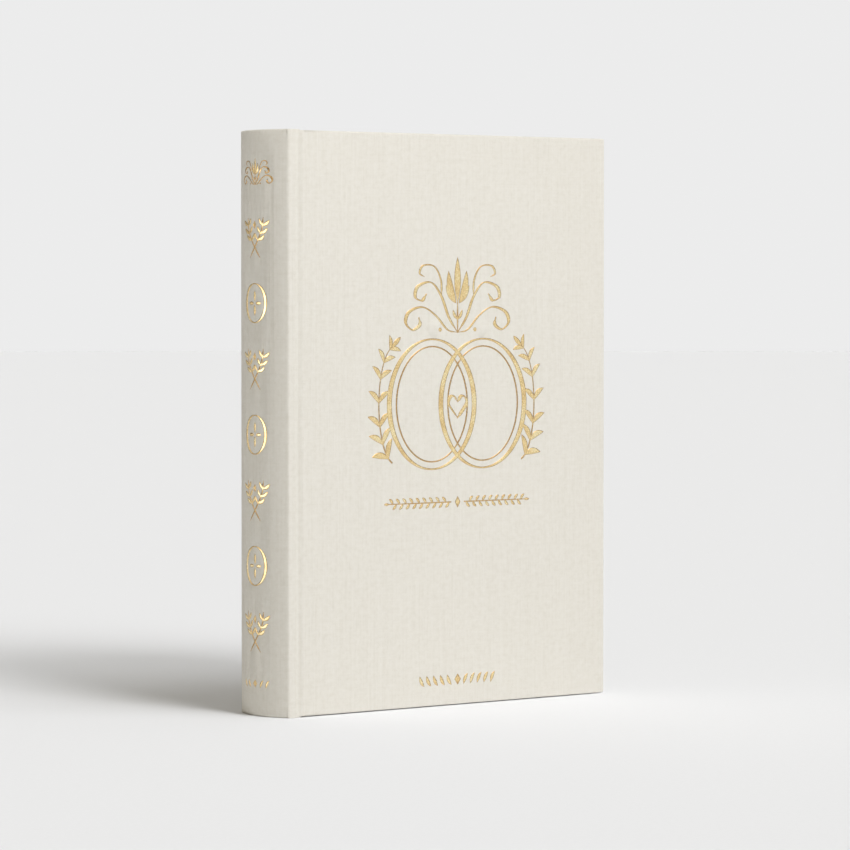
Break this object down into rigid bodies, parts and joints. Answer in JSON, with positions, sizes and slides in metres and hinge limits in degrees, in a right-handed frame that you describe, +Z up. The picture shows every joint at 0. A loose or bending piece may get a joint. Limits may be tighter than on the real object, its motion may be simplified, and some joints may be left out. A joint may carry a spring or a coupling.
{
  "type": "guest book",
  "caption": "Thick cloth-bound guest book with a rounded spine, sewn sections, endpapers, headbands and gold foil ornament; both covers open and leaves fan with them.",
  "frame": {"origin": "on the surface the book stands on, under the middle of its bounding box", "axes": "+Z up along the spine, +X from the spine to the fore-edge, -Y out of the front cover"},
  "size_m": [0.2234, 0.0418, 0.3047],
  "materials": {
    "cloth": "matte",
    "grey_board": "matte",
    "card": "matte",
    "endpaper": "matte",
    "leaves": "matte",
    "thread": "matte",
    "mull": "matte",
    "kraft": "matte",
    "band": "satin",
    "foil": "gloss"
  },
  "bodies": {
    "spine": {"spine_liner": "card", "spine_cloth": "cloth", "signature_05": "leaves", "signature_06": "leaves", "signature_07": "leaves", "signature_08": "leaves", "signature_09": "leaves", "signature_10": "leaves", "signature_11": "leaves", "sewing_thread": "thread", "mull": "mull", "spine_lining": "kraft", "headband": "band", "tailband": "band", "spine_foil": "foil"},
    "front_cover": {"front_board": "grey_board", "front_cover_cloth": "cloth", "front_pastedown": "endpaper", "front_mull_wing": "mull", "front_foil": "foil"},
    "front_flyleaf": {"front_flyleaf": "endpaper"},
    "signature_01": {"signature_01": "leaves"},
    "signature_02": {"signature_02": "leaves"},
    "signature_03": {"signature_03": "leaves"},
    "signature_04": {"signature_04": "leaves"},
    "back_cover": {"back_board": "grey_board", "back_cover_cloth": "cloth", "back_pastedown": "endpaper", "back_mull_wing": "mull"},
    "back_flyleaf": {"back_flyleaf": "endpaper"},
    "signature_15": {"signature_15": "leaves"},
    "signature_14": {"signature_14": "leaves"},
    "signature_13": {"signature_13": "leaves"},
    "signature_12": {"signature_12": "leaves"}
  },
  "joints": [
    {"name": "front_cover_hinge", "type": "hinge", "parent": "spine", "child": "front_cover", "pos_m": [-0.10423, -0.02105, 0], "axis": [0, 0, -1], "range_deg": [0, 179]},
    {"name": "front_flyleaf_turn", "type": "hinge", "parent": "spine", "child": "front_flyleaf", "pos_m": [-0.10364, -0.0166, 0], "axis": [0, 0, -1], "range_deg": [0, 85.92]},
    {"name": "signature_01_turn", "type": "hinge", "parent": "spine", "child": "signature_01", "pos_m": [-0.10364, -0.01655, 0], "axis": [0, 0, -1], "range_deg": [0, 68.02]},
    {"name": "signature_02_turn", "type": "hinge", "parent": "spine", "child": "signature_02", "pos_m": [-0.10491, -0.01434, 0], "axis": [0, 0, -1], "range_deg": [0, 27.21]},
    {"name": "signature_03_turn", "type": "hinge", "parent": "spine", "child": "signature_03", "pos_m": [-0.10593, -0.01213, 0], "axis": [0, 0, -1], "range_deg": [0, 10.92]},
    {"name": "signature_04_turn", "type": "hinge", "parent": "spine", "child": "signature_04", "pos_m": [-0.10675, -0.00992, 0], "axis": [0, 0, -1], "range_deg": [0, 4.37]},
    {"name": "back_cover_hinge", "type": "hinge", "parent": "spine", "child": "back_cover", "pos_m": [-0.10423, 0.02105, 0], "axis": [0, 0, 1], "range_deg": [0, 179]},
    {"name": "back_flyleaf_turn", "type": "hinge", "parent": "spine", "child": "back_flyleaf", "pos_m": [-0.10364, 0.0166, 0], "axis": [0, 0, 1], "range_deg": [0, 85.92]},
    {"name": "signature_15_turn", "type": "hinge", "parent": "spine", "child": "signature_15", "pos_m": [-0.10364, 0.01655, 0], "axis": [0, 0, 1], "range_deg": [0, 68.02]},
    {"name": "signature_14_turn", "type": "hinge", "parent": "spine", "child": "signature_14", "pos_m": [-0.10491, 0.01434, 0], "axis": [0, 0, 1], "range_deg": [0, 27.21]},
    {"name": "signature_13_turn", "type": "hinge", "parent": "spine", "child": "signature_13", "pos_m": [-0.10593, 0.01213, 0], "axis": [0, 0, 1], "range_deg": [0, 10.92]},
    {"name": "signature_12_turn", "type": "hinge", "parent": "spine", "child": "signature_12", "pos_m": [-0.10675, 0.00992, 0], "axis": [0, 0, 1], "range_deg": [0, 4.37]}
  ],
  "couplings": [
    {"joint": "front_flyleaf_turn", "follows": "front_cover_hinge", "ratio": 0.48},
    {"joint": "signature_01_turn", "follows": "front_cover_hinge", "ratio": 0.38},
    {"joint": "signature_02_turn", "follows": "front_cover_hinge", "ratio": 0.152},
    {"joint": "signature_03_turn", "follows": "front_cover_hinge", "ratio": 0.061},
    {"joint": "signature_04_turn", "follows": "front_cover_hinge", "ratio": 0.0244},
    {"joint": "back_flyleaf_turn", "follows": "back_cover_hinge", "ratio": 0.48},
    {"joint": "signature_15_turn", "follows": "back_cover_hinge", "ratio": 0.38},
    {"joint": "signature_14_turn", "follows": "back_cover_hinge", "ratio": 0.152},
    {"joint": "signature_13_turn", "follows": "back_cover_hinge", "ratio": 0.061},
    {"joint": "signature_12_turn", "follows": "back_cover_hinge", "ratio": 0.0244}
  ]
}
